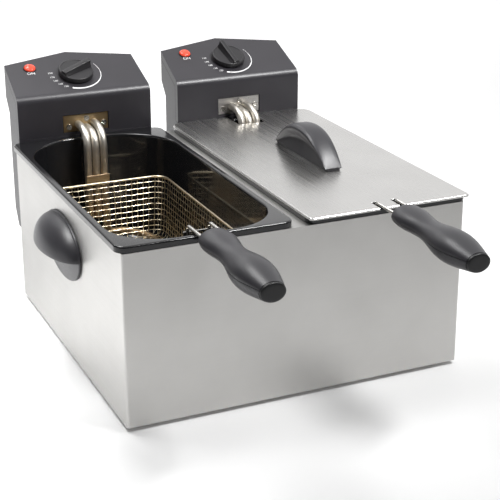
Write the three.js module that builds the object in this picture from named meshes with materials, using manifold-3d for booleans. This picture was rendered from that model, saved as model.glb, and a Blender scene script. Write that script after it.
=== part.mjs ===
// Countertop deep fryer with two wells, in millimetres, +Z up, front towards -Y.
// A steel housing holds two enamelled pans side by side. Behind each pan hangs a control unit whose
// heating element dips into the pan. A wire basket hangs in each pan, and a lid covers the right one.
import * as THREE from 'three';
import { mergeVertices } from 'three/addons/utils/BufferGeometryUtils.js';
import Module from 'manifold-3d';

const wasm = await Module();
wasm.setup();

// ---- Driving dimensions -------------------------------------------------------------------------

const GAP = 0.3;                      // clearance between pieces that touch
const BAY_X = 105.5;                  // distance of each well's centre plane from the middle

const HOUSING = { halfX: 198.5, halfY: 200, bottom: 5, top: 197, sheet: 1.2, corner: 3 };
const FOOT = { radius: 11, height: HOUSING.bottom - GAP, x: 176, frontY: -168, rearY: 150 };

const RIM = { halfX: 97.5, front: -199.5, rear: 200, top: 204.5, corner: 12, roll: 2.2, sheet: 1.5 };
const WELL = { halfX: 89, front: -193, rear: 190, rFront: 58, rRear: 73, bottom: 66, draft: 6 };
const WELL_EDGE = { spread: 2, drop: 3.5 };          // how the well's mouth rounds over into the rim

const UNIT = { front: 203, halfX: 87, rearHalfX: 84.5, rear: 268, apex: 284, wall: 2.5, bottom: 84 };
const UNIT_BACK = { y: 252, diagonalLow: 230, diagonalHigh: 270, farY: 290, footY: 236, footTop: 104 };
const PANEL = { edgeZ: 258, angle: THREE.MathUtils.degToRad(24), bend: 12 };
const COVER = { bottom: 205.5, returnDepth: 9 };
const WINDOW = { halfX: 29.8, low: 208.7, high: 231.3 };

const KNOB = { slope: 40.5, radius: 22, skirt: 7, barWidth: 12, barTop: 6, high: 15, low: 11, lift: 0.6 };
const KNOB_TURN = { left: 24, right: 98 };          // direction of the bar's high end in degrees from +X
const SHAFT = { radius: 3, bore: 3.3, tip: 11 };
const LAMP = { x: -54.5, slope: 60, radius: 6.6, flange: 8.2, flangeTop: 1.2, dome: 3.2, stem: 8 };

const TUBE = { radius: 4.7, legX: 10.4, legY: 168, plateZ: 219, bend: 27, floorZ: 82 };
const PLATE = { halfX: 29.2, low: 209.3, high: 230.7, front: 204.2, thick: 1.5 };
const PLATE_SCREWS = { left: [-22.6, 216], centre: [0.6, 225.4], right: [23.2, 217.5] };
const SCREW = { radius: 3.7, height: 1.6, recess: 2.3, halfSlot: 0.5 };
const CLAMP = { low: 150, high: 162, thick: 1.4 };

const THERMOSTAT = { radius: 17, depth: 20 };
const RESET = { x: 45, z: 165, radius: 4, flange: 6.5, inner: 8, proud: 2.5 };
const CUTOUT = { halfSize: 14, halfHeight: 12, front: 218, clearOfBack: 12 };
const TERMINALS = { x0: -66, x1: -36, y0: 214, y1: 232, z0: 150, z1: 166 };
const GLAND = { x: -40, z: 128, radius: 7.5, nut: 11, collar: 10, tip: 8.5, proud: 10 };

const BASKET = { halfX: 73.5, front: -165, rear: 125, top: 161.5, bottom: 90, wall: 2.5 };
const BASKET_CORNER = { front: 26, rear: 18 };
const BASKET_SHIFT = { left: 0, right: -16 };        // the right basket hangs further forward
const RIM_WIRE = 1.6;
const WIRE = { radius: 2, halfPitch: 12, riseY: -172, runZ: RIM.top + GAP + 2, end: -232 };
const WIRE_FOOT = 4.6;                // how far in front of the basket the wires hang
const WEB = { low: 146, high: 164, halfThick: 0.8 };                        // plates between the two wires
const BRIDGE = { halfX: 17, low: 187, high: 200, slotHalfX: 4, slotLow: 193, slotHigh: 198 };
const GRIP = { back: -213, front: -354, seam: -4.5, cap: 3, drop: 6, flatness: 0.75 };

const LID = { halfX: 98.3, front: -204.3, rear: 201.3, top: 205.7, sheet: 0.9, hem: 2.6 };
const LID_NOTCH = { halfX: 18.5, front: 160.5 };
const LID_SLOT = { halfWidth: 3.4, rear: -183.5 };
const LID_SCREWS_Y = [-30, 30];
const LID_SCREW = { hole: 2, head: 3.8, headHeight: 2, shank: 1.5, reach: 8 };
const LID_HANDLE = { halfLength: 67, height: 38.5, foot: 8.5, crownEnd: 10.8, crown: 14.5 };

const SIDE_GRIP = { y: 3, z: 138.5, depth: 30, halfY: 66, halfZ: 37, wall: 3, lip: 137.5 };
const RAIL = { low: 110, high: 171.7, halfX: 28, stem: 8, stemY: 210, head: 2 };

// ---- Solid helpers ------------------------------------------------------------------------------

function toSolid(geometry) {
  const bare = geometry.clone();
  bare.deleteAttribute('normal');
  bare.deleteAttribute('uv');
  const merged = mergeVertices(bare, 1e-4);
  return new wasm.Manifold(new wasm.Mesh({
    numProp: 3,
    vertProperties: new Float32Array(merged.attributes.position.array),
    triVerts: new Uint32Array(merged.index.array),
  }));
}

function toGeometry(solid) {
  const mesh = solid.getMesh();
  const geometry = new THREE.BufferGeometry();
  geometry.setAttribute('position', new THREE.BufferAttribute(mesh.vertProperties, 3));
  geometry.setIndex(new THREE.BufferAttribute(mesh.triVerts, 1));
  geometry.computeVertexNormals();
  return geometry;
}

function box(x0, x1, y0, y1, z0, z1) {
  const geometry = new THREE.BoxGeometry(x1 - x0, y1 - y0, z1 - z0);
  return geometry.translate((x0 + x1) / 2, (y0 + y1) / 2, (z0 + z1) / 2);
}

function prism(shape, z0, z1, curveSegments = 6) {
  const geometry = new THREE.ExtrudeGeometry(shape, { depth: z1 - z0, bevelEnabled: false, curveSegments });
  return geometry.translate(0, 0, z0);
}

// A side profile drawn in (Y, Z) and extruded along X.
function sidePrism(shape, x0, x1) {
  const turn = new THREE.Matrix4().makeBasis(
    new THREE.Vector3(0, 1, 0), new THREE.Vector3(0, 0, 1), new THREE.Vector3(1, 0, 0));
  return prism(shape, x0, x1).applyMatrix4(turn);
}

function cylinder(radius, height, sides = 24) {
  return new THREE.CylinderGeometry(radius, radius, height, sides).rotateX(Math.PI / 2);
}

// A profile of [radius, height] pairs turned about the Y axis.
function lathe(profile, sides) {
  return new THREE.LatheGeometry(profile.map(([r, h]) => new THREE.Vector2(r, h)), sides);
}

function polygon(points) {
  return new THREE.Shape(points.map(([x, y]) => new THREE.Vector2(x, y)));
}

// Rings of equal length joined into one closed skin, each end closed by a fan about its middle.
function loft(rings) {
  const count = rings[0].length;
  const positions = rings.flat().flatMap((p) => [p.x, p.y, p.z]);
  const index = [];
  for (let i = 0; i + 1 < rings.length; i++) {
    for (let j = 0; j < count; j++) {
      const a = i * count + j;
      const b = i * count + (j + 1) % count;
      index.push(a, b, b + count, a, b + count, a + count);
    }
  }
  const closeEnd = (ring, first, forward) => {
    const middle = ring.reduce((sum, p) => sum.add(p), new THREE.Vector3()).divideScalar(count);
    const centre = positions.length / 3;
    positions.push(middle.x, middle.y, middle.z);
    for (let j = 0; j < count; j++) {
      const a = first + j;
      const b = first + (j + 1) % count;
      index.push(...(forward ? [centre, a, b] : [centre, b, a]));
    }
  };
  closeEnd(rings[0], 0, false);
  closeEnd(rings[rings.length - 1], (rings.length - 1) * count, true);
  const geometry = new THREE.BufferGeometry();
  geometry.setAttribute('position', new THREE.Float32BufferAttribute(positions, 3));
  geometry.setIndex(index);
  geometry.computeVertexNormals();
  return geometry;
}

// A rectangle with round corners as a loop of points, the front corners and the rear ones each with
// their own radius. All such loops match corner for corner, so they can be lofted to each other.
function cornerLoop({ halfX, front, rear, rFront, rRear }, z, steps = 6) {
  const corners = [
    [-halfX + rFront, front + rFront, rFront, Math.PI],
    [halfX - rFront, front + rFront, rFront, 1.5 * Math.PI],
    [halfX - rRear, rear - rRear, rRear, 0],
    [-halfX + rRear, rear - rRear, rRear, 0.5 * Math.PI],
  ];
  return corners.flatMap(([x, y, radius, start]) => Array.from({ length: steps + 1 }, (_, i) => {
    const angle = start + (i / steps) * Math.PI / 2;
    return new THREE.Vector3(x + radius * Math.cos(angle), y + radius * Math.sin(angle), z);
  }));
}

function loopShape(loop) {
  return new THREE.Shape(loop.map((p) => new THREE.Vector2(p.x, p.y)));
}

// A round bar along a run of straight lines whose corners are rounded, given as [x, y, z, corner].
// The section is carried along without twist.
function bar(points, radius, sides = 8, bendSteps = 4) {
  const at = points.map(([x, y, z]) => new THREE.Vector3(x, y, z));
  const stations = [{ point: at[0], along: at[1].clone().sub(at[0]).normalize() }];
  for (let i = 1; i + 1 < at.length; i++) {
    const reach = points[i][3];
    const start = at[i - 1].clone().sub(at[i]).setLength(reach).add(at[i]);
    const stop = at[i + 1].clone().sub(at[i]).setLength(reach).add(at[i]);
    const bend = new THREE.QuadraticBezierCurve3(start, at[i], stop);
    for (let k = 0; k <= bendSteps; k++) {
      stations.push({ point: bend.getPoint(k / bendSteps), along: bend.getTangent(k / bendSteps) });
    }
  }
  const last = at.length - 1;
  stations.push({ point: at[last], along: at[last].clone().sub(at[last - 1]).normalize() });

  const across = new THREE.Vector3(1, 0, 0).cross(stations[0].along);
  if (across.length() < 0.1) {
    across.set(0, 1, 0);
  }
  const rings = stations.map(({ point, along }) => {
    across.addScaledVector(along, -across.dot(along)).normalize();
    const up = along.clone().cross(across);
    return Array.from({ length: sides }, (_, j) => {
      const angle = (j / sides) * 2 * Math.PI;
      return point.clone()
        .addScaledVector(across, radius * Math.cos(angle))
        .addScaledVector(up, radius * Math.sin(angle));
    });
  });
  return loft(rings);
}

function union(...geometries) {
  return geometries.map(toSolid).reduce((sum, solid) => sum.add(solid));
}

// ---- Materials ----------------------------------------------------------------------------------

function material(color, roughness, metalness) {
  return new THREE.MeshStandardMaterial({ color, roughness, metalness });
}

const STEEL = material(0xb9b5b0, 0.35, 1);
const BRIGHT_STEEL = material(0xd2cfca, 0.25, 1);
const NICKEL = material(0xd8cfc0, 0.3, 1);
const BRASS = material(0xb0915c, 0.4, 1);
const ENAMEL = material(0x121212, 0.12, 0);
const CHARCOAL = material(0x3c3c40, 0.55, 0);
const GRIP_PLASTIC = material(0x4a4a4f, 0.5, 0);
const BLACK_PLASTIC = material(0x161616, 0.45, 0);
const RUBBER = material(0x101010, 0.85, 0);
const RED_LENS = material(0xd8402c, 0.25, 0);
const CERAMIC = material(0xd9d4c8, 0.6, 0);

// The group is moved back so that the middle of its whole depth stands on the origin.
const group = new THREE.Group();
group.position.y = -(GRIP.front + BASKET_SHIFT.right + UNIT.apex) / 2;

function addPiece(parent, name, geometry, pieceMaterial) {
  const mesh = new THREE.Mesh(geometry, pieceMaterial);
  mesh.name = name;
  parent.add(mesh);
  return mesh;
}

// ---- Housing ------------------------------------------------------------------------------------

function wellOutline(offset) {
  return {
    halfX: WELL.halfX + offset,
    front: WELL.front - offset,
    rear: WELL.rear + offset,
    rFront: WELL.rFront + offset,
    rRear: WELL.rRear + offset,
  };
}

function housingOutline(inset) {
  const { halfX, halfY, corner } = HOUSING;
  const radius = corner - inset;
  return { halfX: halfX - inset, front: inset - halfY, rear: halfY - inset, rFront: radius, rRear: radius };
}

// A steel box open at the bottom, with a deck that has one cut-out for each pan.
function housingShell() {
  const { bottom, top, sheet } = HOUSING;
  const deckClearance = RIM.sheet + 0.6;
  const inside = prism(loopShape(cornerLoop(housingOutline(sheet), 0, 3)), bottom - 1, top - sheet);
  let shell = toSolid(prism(loopShape(cornerLoop(housingOutline(0), 0, 3)), bottom, top));
  shell = shell.subtract(toSolid(inside));
  for (const side of [-1, 1]) {
    const cut = prism(loopShape(cornerLoop(wellOutline(deckClearance), 0)), top - 2 * sheet, top + 1);
    shell = shell.subtract(toSolid(cut.translate(side * BAY_X, 0, 0)));
  }
  return toGeometry(shell);
}

function basePlate() {
  const inset = HOUSING.sheet + GAP;
  const outline = { ...housingOutline(inset), rFront: 2, rRear: 2 };
  return prism(loopShape(cornerLoop(outline, 0, 2)), HOUSING.bottom, HOUSING.bottom + HOUSING.sheet);
}

// A cup pull: an oval plate against the housing's side with a hood over its upper part.
function sideGrip() {
  const { depth, halfY, halfZ, wall, lip } = SIDE_GRIP;
  const dome = (inset) => new THREE.SphereGeometry(1, 20, 10)
    .scale(depth - inset, halfY - inset, halfZ - inset);
  const lipZ = lip - SIDE_GRIP.z;
  const hood = toSolid(dome(0)).subtract(toSolid(dome(wall)))
    .intersect(toSolid(box(0, depth + 1, -halfY, halfY, lipZ, halfZ + 1)));
  const disc = cylinder(1, wall, 32).rotateY(Math.PI / 2).scale(1, halfY, halfZ).translate(wall / 2, 0, 0);
  return toGeometry(hood.add(toSolid(disc)));
}

function rail() {
  const { halfX, stem, stemY, head, low, high } = RAIL;
  const back = HOUSING.halfY + GAP;
  const outline = polygon([
    [-halfX, back], [halfX, back], [halfX, back + 1.5], [stem, back + 1.5], [stem, stemY], [halfX, stemY],
    [halfX, stemY + head], [-halfX, stemY + head], [-halfX, stemY], [-stem, stemY], [-stem, back + 1.5],
    [-halfX, back + 1.5],
  ]);
  return prism(outline, low, high);
}

function buildHousing() {
  addPiece(group, 'housing_shell', housingShell(), STEEL);
  addPiece(group, 'base_plate', basePlate(), STEEL);
  for (const [sideName, side] of [['left', -1], ['right', 1]]) {
    for (const [endName, y] of [['front', FOOT.frontY], ['rear', FOOT.rearY]]) {
      const peg = cylinder(FOOT.radius, FOOT.height, 20);
      const foot = addPiece(group, `foot_${endName}_${sideName}`, peg, RUBBER);
      foot.position.set(side * FOOT.x, y, FOOT.height / 2);
    }
    const grip = addPiece(group, `side_handle_${sideName}`, sideGrip(), GRIP_PLASTIC);
    grip.position.set(side * (HOUSING.halfX + GAP), SIDE_GRIP.y, SIDE_GRIP.z);
    grip.rotation.z = side < 0 ? Math.PI : 0;
    addPiece(group, `unit_rail_${sideName}`, rail(), STEEL).position.x = side * BAY_X;
  }
}

// ---- Pan ----------------------------------------------------------------------------------------

// A deep tub with a flat rim that rolls over into a short skirt.
function pan() {
  const { halfX, front, rear, top, corner, roll, sheet } = RIM;
  const skirtBottom = HOUSING.top + GAP;
  const rimOutline = (inset) => ({
    halfX: halfX - inset,
    front: front + inset,
    rear: rear - inset,
    rFront: corner - inset,
    rRear: corner - inset,
  });
  const { bottom, draft } = WELL;
  const heel = 14;
  return loft([
    cornerLoop(wellOutline(sheet - draft - heel), bottom - sheet),
    cornerLoop(wellOutline(sheet - draft), bottom + heel - sheet),
    cornerLoop(wellOutline(sheet), top - sheet - WELL_EDGE.drop),
    cornerLoop(wellOutline(sheet + WELL_EDGE.spread), top - sheet),
    cornerLoop(rimOutline(sheet), top - sheet),
    cornerLoop(rimOutline(sheet), skirtBottom),
    cornerLoop(rimOutline(0), skirtBottom),
    cornerLoop(rimOutline(0), top - roll),
    cornerLoop(rimOutline(roll), top),
    cornerLoop(wellOutline(WELL_EDGE.spread), top),
    cornerLoop(wellOutline(0), top - WELL_EDGE.drop),
    cornerLoop(wellOutline(-draft), bottom + heel),
    cornerLoop(wellOutline(-draft - heel), bottom),
  ]);
}

// ---- Control unit -------------------------------------------------------------------------------

// Height of the sloping panel's surface at depth y, moved inwards by an inset.
function panelHeight(y, inset) {
  return PANEL.edgeZ + (y - UNIT.front) * Math.tan(PANEL.angle) - inset / Math.cos(PANEL.angle);
}

// Front wall, round bend and sloping panel, closed far behind and far below.
function frontProfile(inset, farY, lowZ) {
  const bendTurn = Math.PI / 2 - PANEL.angle;
  const tangent = PANEL.bend * Math.tan(bendTurn / 2);
  const shape = new THREE.Shape();
  const bendZ = PANEL.edgeZ - tangent;
  shape.moveTo(UNIT.front + inset, lowZ);
  shape.lineTo(UNIT.front + inset, bendZ);
  shape.absarc(UNIT.front + PANEL.bend, bendZ, PANEL.bend - inset, Math.PI, Math.PI - bendTurn, true);
  shape.lineTo(farY, panelHeight(farY, inset));
  return shape;
}

// The whole side view of the unit, moved inwards by an inset.
function sideProfile(inset) {
  const { y, diagonalLow, diagonalHigh, farY, footY, footTop } = UNIT_BACK;
  const bottom = UNIT.bottom + inset;
  const shape = frontProfile(inset, farY - inset, bottom);
  shape.lineTo(farY - inset, diagonalHigh + inset / 2);
  shape.lineTo(y - inset, diagonalLow + inset / 2);
  shape.lineTo(y - inset, footTop);
  shape.lineTo(footY - inset / 2, bottom);
  return shape;
}

function unitBody(inset) {
  const side = UNIT.halfX - inset;
  const rearSide = UNIT.rearHalfX - inset;
  const plan = polygon([
    [-side, UNIT.front - 1], [side, UNIT.front - 1], [rearSide, UNIT.rear - inset], [0, UNIT.apex - inset],
    [-rearSide, UNIT.rear - inset],
  ]);
  const profile = toSolid(sidePrism(sideProfile(inset), -UNIT.halfX - 1, UNIT.halfX + 1));
  return profile.intersect(toSolid(prism(plan, UNIT.bottom - 1, panelHeight(UNIT_BACK.farY, 0))));
}

// Everything deeper than the cover's side return.
function behindCover(depth) {
  const shape = frontProfile(depth, UNIT_BACK.farY + 10, 0);
  shape.lineTo(UNIT_BACK.farY + 10, 0);
  return toSolid(sidePrism(shape, -UNIT.halfX - 1, UNIT.halfX + 1));
}

function slab(z0, z1) {
  const reach = UNIT.halfX + 1;
  return toSolid(box(-reach, reach, UNIT.front - 1, UNIT_BACK.farY + 1, z0, z1));
}

// A point on the panel, and a cut or a piece standing square to it there.
function ontoPanel(geometry, x, slope, lift = 0) {
  return geometry
    .translate(0, 0, lift)
    .rotateX(PANEL.angle)
    .translate(x, UNIT.front + slope * Math.cos(PANEL.angle), PANEL.edgeZ + slope * Math.sin(PANEL.angle));
}

function frontCover(shell) {
  const window = box(-WINDOW.halfX, WINDOW.halfX, UNIT.front - 1, UNIT.front + 4, WINDOW.low, WINDOW.high);
  const shaftHole = ontoPanel(cylinder(5, 12, 14), 0, KNOB.slope);
  const lampHole = ontoPanel(cylinder(LAMP.radius + GAP, 12, 16), LAMP.x, LAMP.slope);
  return toGeometry(shell
    .intersect(slab(COVER.bottom, UNIT_BACK.farY + 20))
    .subtract(behindCover(COVER.returnDepth))
    .subtract(toSolid(window))
    .subtract(toSolid(shaftHole))
    .subtract(toSolid(lampHole)));
}

function throughBack(radius, x, z) {
  return toSolid(cylinder(radius, 12, 16).rotateX(Math.PI / 2).translate(x, UNIT_BACK.y, z));
}

// Sides, back and bottom, with a keyed slot in the hanging part that slides over the housing's rail.
function rearShell(shell) {
  const front = UNIT.front;
  const stem = RAIL.stem + 1;
  const head = RAIL.halfX + 1;
  const under = UNIT.bottom - 1;
  const floorTop = UNIT.bottom + UNIT.wall + 1;
  const slot = box(-stem, stem, front - 1, front + UNIT.wall + 1, under, RAIL.high + GAP);
  const throat = box(-stem, stem, front - 1, RAIL.stemY, under, floorTop);
  const mouth = box(-head, head, RAIL.stemY - 1, RAIL.stemY + RAIL.head + 1, under, floorTop);
  return toGeometry(behindCover(COVER.returnDepth + GAP)
    .add(slab(0, COVER.bottom - GAP))
    .intersect(shell)
    .subtract(toSolid(slot))
    .subtract(toSolid(throat))
    .subtract(toSolid(mouth))
    .subtract(throughBack(RESET.radius + GAP, RESET.x, RESET.z))
    .subtract(throughBack(GLAND.radius + GAP, GLAND.x, GLAND.z)));
}

// A loop of heater tube: down the pan's back wall, apart along its foot, then four long runs over the floor.
function heatingElement() {
  const { radius, legX, legY, plateZ, bend, floorZ } = TUBE;
  const start = PLATE.front - GAP;
  const run = 58;
  const inner = 19;
  const frontY = -140;
  const turn = 18;
  const spreadX = 36;
  const footTurn = 12;
  const leg = (x) => [
    [x, start, plateZ, 0],
    [x, legY, plateZ, bend],
    [x, legY, floorZ, footTurn],
    [Math.sign(x) * spreadX, legY, floorZ, footTurn],
    [Math.sign(x) * run, 130, floorZ, turn],
    [Math.sign(x) * run, frontY, floorZ, turn],
    [Math.sign(x) * inner, frontY, floorZ, turn],
  ];
  const left = leg(-legX);
  const right = leg(legX).reverse();
  const backTurn = [[-inner, 90, floorZ, turn], [inner, 90, floorZ, turn]];
  return bar([...left, ...backTurn, ...right], radius);
}

function thermostatTube() {
  const { radius, legY, plateZ, floorZ } = TUBE;
  const start = PLATE.front - GAP;
  return bar([[0, start, plateZ - 5, 0], [0, legY, plateZ - 5, 22], [0, legY, floorZ + 22, 0]], radius);
}

// A pan head with a cross recess.
function crossScrew() {
  const { radius, height, recess, halfSlot } = SCREW;
  const head = toSolid(cylinder(radius, height, 16));
  const slotX = toSolid(box(-recess, recess, -halfSlot, halfSlot, 0.1, height));
  const slotY = toSolid(box(-halfSlot, halfSlot, -recess, recess, 0.1, height));
  return toGeometry(head.subtract(slotX).subtract(slotY));
}

// A round skirt with a wedge-shaped grip bar across it, highest at the pointer's end.
function knobBody() {
  const { radius, skirt, barWidth, barTop, high, low } = KNOB;
  const ease = 1.5;
  const disc = lathe([[0, 0], [radius, 0], [radius, skirt - ease], [radius - ease, skirt], [0, skirt]], 40)
    .rotateX(Math.PI / 2);
  const reach = radius - 0.5;
  const ring = (x, top) => [
    new THREE.Vector3(x, -barWidth / 2, skirt - 2), new THREE.Vector3(x, barWidth / 2, skirt - 2),
    new THREE.Vector3(x, barTop / 2, top), new THREE.Vector3(x, -barTop / 2, top),
  ];
  const ridge = toSolid(loft([ring(-reach, low), ring(reach, high)]))
    .intersect(toSolid(cylinder(reach - 0.3, 4 * high, 40)));
  const bore = toSolid(cylinder(SHAFT.bore, 2 * (SHAFT.tip + GAP), 16));
  return toGeometry(toSolid(disc).add(ridge).subtract(bore));
}

function thermostatBody() {
  const { radius, depth } = THERMOSTAT;
  const can = ontoPanel(cylinder(radius, depth, 16), 0, KNOB.slope, -depth / 2 - UNIT.wall - GAP);
  const tipLift = SHAFT.tip - KNOB.lift;
  const shaftLength = tipLift + UNIT.wall + depth / 3;
  const middle = tipLift - shaftLength / 2;
  const shaft = ontoPanel(cylinder(SHAFT.radius, shaftLength, 16), 0, KNOB.slope, middle);
  return toGeometry(union(can, shaft));
}

function lampLens() {
  const { radius, flange, flangeTop, dome, stem } = LAMP;
  const steps = 4;
  const crown = Array.from({ length: steps }, (_, i) => {
    const angle = (i / steps) * Math.PI / 2;
    return [radius * Math.cos(angle), flangeTop + dome * Math.sin(angle)];
  });
  const edge = [[0, -stem], [radius, -stem], [radius, GAP], [flange, GAP], [flange, flangeTop]];
  const lens = lathe([...edge, ...crown, [0, flangeTop + dome]], 16);
  return ontoPanel(lens.rotateX(Math.PI / 2), LAMP.x, LAMP.slope);
}

function cordGland() {
  const { radius, nut, collar, tip, proud, x, z } = GLAND;
  const inner = UNIT.wall + 1.5;
  const outer = UNIT.wall + 0.7;
  const profile = [
    [0, -inner - 5], [nut, -inner - 5], [nut, -inner], [radius, -inner], [radius, outer], [collar, outer],
    [tip, proud], [0, proud],
  ];
  return lathe(profile, 14).translate(x, UNIT_BACK.y - 2, z);
}

function resetButton() {
  const { radius, flange, inner, proud, x, z } = RESET;
  const step = 2 - inner;
  const profile = [
    [0, -inner], [flange, -inner], [flange, step], [radius, step], [radius, proud], [0, proud],
  ];
  return lathe(profile, 12).translate(x, UNIT_BACK.y, z);
}

function buildUnit(bay, sideName) {
  const shell = unitBody(0).subtract(unitBody(UNIT.wall));
  const add = (name, geometry, finish) => addPiece(bay, `${name}_${sideName}`, geometry, finish);
  add('front_cover', frontCover(shell), CHARCOAL);
  add('rear_shell', rearShell(shell), CHARCOAL);
  const plateRear = PLATE.front + PLATE.thick;
  add('element_plate', box(-PLATE.halfX, PLATE.halfX, PLATE.front, plateRear, PLATE.low, PLATE.high),
    sideName === 'left' ? BRASS : BRIGHT_STEEL);
  add('heating_element', heatingElement(), NICKEL);
  add('thermostat_tube', thermostatTube(), NICKEL);
  const clampHalfX = TUBE.legX + TUBE.radius - 0.5;
  const clampY = TUBE.legY - TUBE.radius - GAP;
  const { thick } = CLAMP;
  add('element_clamp', box(-clampHalfX, clampHalfX, clampY - thick, clampY, CLAMP.low, CLAMP.high), NICKEL);
  for (const [place, [x, z]] of Object.entries(PLATE_SCREWS)) {
    const screw = add(`plate_screw_${place}`, crossScrew(), BRIGHT_STEEL);
    screw.position.set(x, PLATE.front - GAP - SCREW.height / 2, z);
    screw.rotation.x = Math.PI / 2;
  }
  add('lamp_lens', lampLens(), RED_LENS);
  add('thermostat', thermostatBody(), BRIGHT_STEEL);
  const { halfSize, halfHeight, front, clearOfBack } = CUTOUT;
  add('thermal_cutout', box(RESET.x - halfSize, RESET.x + halfSize, front, UNIT_BACK.y - clearOfBack,
    RESET.z - halfHeight, RESET.z + halfHeight), CERAMIC);
  const { x0, x1, y0, y1, z0, z1 } = TERMINALS;
  add('terminal_block', box(x0, x1, y0, y1, z0, z1), CERAMIC);
  add('cord_gland', cordGland(), BLACK_PLASTIC);
  add('reset_button', resetButton(), BLACK_PLASTIC);

  const knob = add('knob', knobBody(), BLACK_PLASTIC);
  const { slope, lift } = KNOB;
  knob.position.set(
    0,
    UNIT.front + slope * Math.cos(PANEL.angle) - lift * Math.sin(PANEL.angle),
    PANEL.edgeZ + slope * Math.sin(PANEL.angle) + lift * Math.cos(PANEL.angle),
  );
  knob.rotation.set(PANEL.angle, 0, THREE.MathUtils.degToRad(KNOB_TURN[sideName]));
}

// ---- Basket -------------------------------------------------------------------------------------

function basketOutline(inset) {
  const { halfX, front, rear } = BASKET;
  return {
    halfX: halfX - inset,
    front: front + inset,
    rear: rear - inset,
    rFront: BASKET_CORNER.front - inset / 2,
    rRear: BASKET_CORNER.rear - inset / 2,
  };
}

// An open tub that stands for the woven wire, narrowing towards its bottom.
function basketTub() {
  const { top, bottom, wall } = BASKET;
  const taper = 6;
  const heel = 5;
  return loft([
    cornerLoop(basketOutline(taper + heel), bottom, 4),
    cornerLoop(basketOutline(taper), bottom + heel, 4),
    cornerLoop(basketOutline(0), top, 4),
    cornerLoop(basketOutline(wall), top, 4),
    cornerLoop(basketOutline(taper + wall), bottom + heel, 4),
    cornerLoop(basketOutline(taper + heel + wall), bottom + wall, 4),
  ]);
}

// A closed hoop of wire along the basket's top edge.
function basketHoop() {
  const sides = 6;
  const centreZ = BASKET.top + GAP + RIM_WIRE;
  const middle = BASKET.wall / 2;
  const rings = Array.from({ length: sides }, (_, i) => {
    const angle = (i / sides) * 2 * Math.PI;
    const inset = middle - RIM_WIRE * Math.cos(angle);
    return cornerLoop(basketOutline(inset), centreZ + RIM_WIRE * Math.sin(angle), 4);
  });
  const count = rings[0].length;
  const positions = rings.flat().flatMap((p) => [p.x, p.y, p.z]);
  const index = [];
  for (let i = 0; i < sides; i++) {
    for (let j = 0; j < count; j++) {
      const next = (j + 1) % count;
      const a = i * count + j;
      const b = i * count + next;
      const c = ((i + 1) % sides) * count + next;
      const d = ((i + 1) % sides) * count + j;
      index.push(a, b, c, a, c, d);
    }
  }
  const geometry = new THREE.BufferGeometry();
  geometry.setAttribute('position', new THREE.Float32BufferAttribute(positions, 3));
  geometry.setIndex(index);
  geometry.computeVertexNormals();
  return geometry;
}

// One of the two wires that rise from the basket's front, pass over the pan's rim and enter the grip.
function handleWire(side, radius) {
  const x = side * WIRE.halfPitch;
  const footY = BASKET.front - WIRE_FOOT;
  return bar([
    [x, footY, 144, 0],
    [x, footY, 175, 2],
    [x, WIRE.riseY, 185, 2],
    [x, WIRE.riseY, WIRE.runZ, 7],
    [x, WIRE.end, WIRE.runZ, 0],
  ], radius);
}

// The two wires, the web that hangs on the basket's hoop and a slotted bridge near the pan's rim.
function handleBracket() {
  const { riseY, radius, halfPitch } = WIRE;
  const { halfX, slotHalfX, slotLow, slotHigh } = BRIDGE;
  const footY = BASKET.front - WIRE_FOOT;
  const web = box(-halfPitch, halfPitch, footY - WEB.halfThick, footY + WEB.halfThick, WEB.low, WEB.high);
  const bridge = box(-halfX, halfX, riseY - WEB.halfThick, riseY + WEB.halfThick, BRIDGE.low, BRIDGE.high);
  const slot = box(-slotHalfX, slotHalfX, riseY - 1, riseY + 1, slotLow, slotHigh);
  const wires = union(handleWire(-1, radius), handleWire(1, radius), web, bridge);
  return toGeometry(wires.subtract(toSolid(slot)));
}

// The grip's section at a share t of its length: a collar, a neck and a long bulb.
function gripSection(t) {
  const collar = Math.exp(-(((t - 0.09) / 0.22) ** 2));
  const bulb = Math.exp(-(((t - 0.685) / 0.32) ** 2));
  const halfX = 7.6 + 11.1 * collar + 14.2 * bulb;
  const flatness = GRIP.flatness - 0.15 * collar;
  return { halfX, halfZ: flatness * halfX, z: WIRE.runZ - 1.5 - GRIP.drop * t };
}

function gripBody() {
  const { back, front } = GRIP;
  const stations = 12;
  const sides = 16;
  const rings = Array.from({ length: stations + 1 }, (_, i) => {
    const t = i / stations;
    const { halfX, halfZ, z } = gripSection(t);
    return Array.from({ length: sides }, (__, j) => {
      const angle = (j / sides) * 2 * Math.PI;
      const y = back + (front - back) * t;
      return new THREE.Vector3(halfX * Math.cos(angle), y, z + halfZ * Math.sin(angle));
    });
  });
  return loft(rings);
}

function buildGrip(bay, sideName) {
  const { front, seam, cap } = GRIP;
  let body = toSolid(gripBody());
  const pocket = WIRE.radius + 0.4;
  for (const side of [-1, 1]) {
    const middle = side * WIRE.halfPitch;
    body = body.subtract(toSolid(handleWire(side, WIRE.radius + GAP)));
    body = body.subtract(toSolid(box(
      middle - pocket, middle + pocket, WIRE.end - 1, WIRE.end + 3,
      WIRE.runZ - pocket, WIRE.runZ + pocket)));
  }
  const seamZ = WIRE.runZ + seam;
  const reach = 40;
  const behindCap = (z0, z1) => toSolid(box(-reach, reach, front + cap + GAP, GRIP.back + 1, z0, z1));
  const upper = body.intersect(behindCap(seamZ + GAP, seamZ + reach));
  const lower = body.intersect(behindCap(seamZ - reach, seamZ));
  addPiece(bay, `grip_upper_${sideName}`, toGeometry(upper), GRIP_PLASTIC);
  addPiece(bay, `grip_lower_${sideName}`, toGeometry(lower), GRIP_PLASTIC);
  const tip = toSolid(box(-reach, reach, front - 1, front + cap, seamZ - reach, seamZ + reach));
  addPiece(bay, `grip_cap_${sideName}`, toGeometry(body.intersect(tip)), BLACK_PLASTIC);
}

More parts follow.
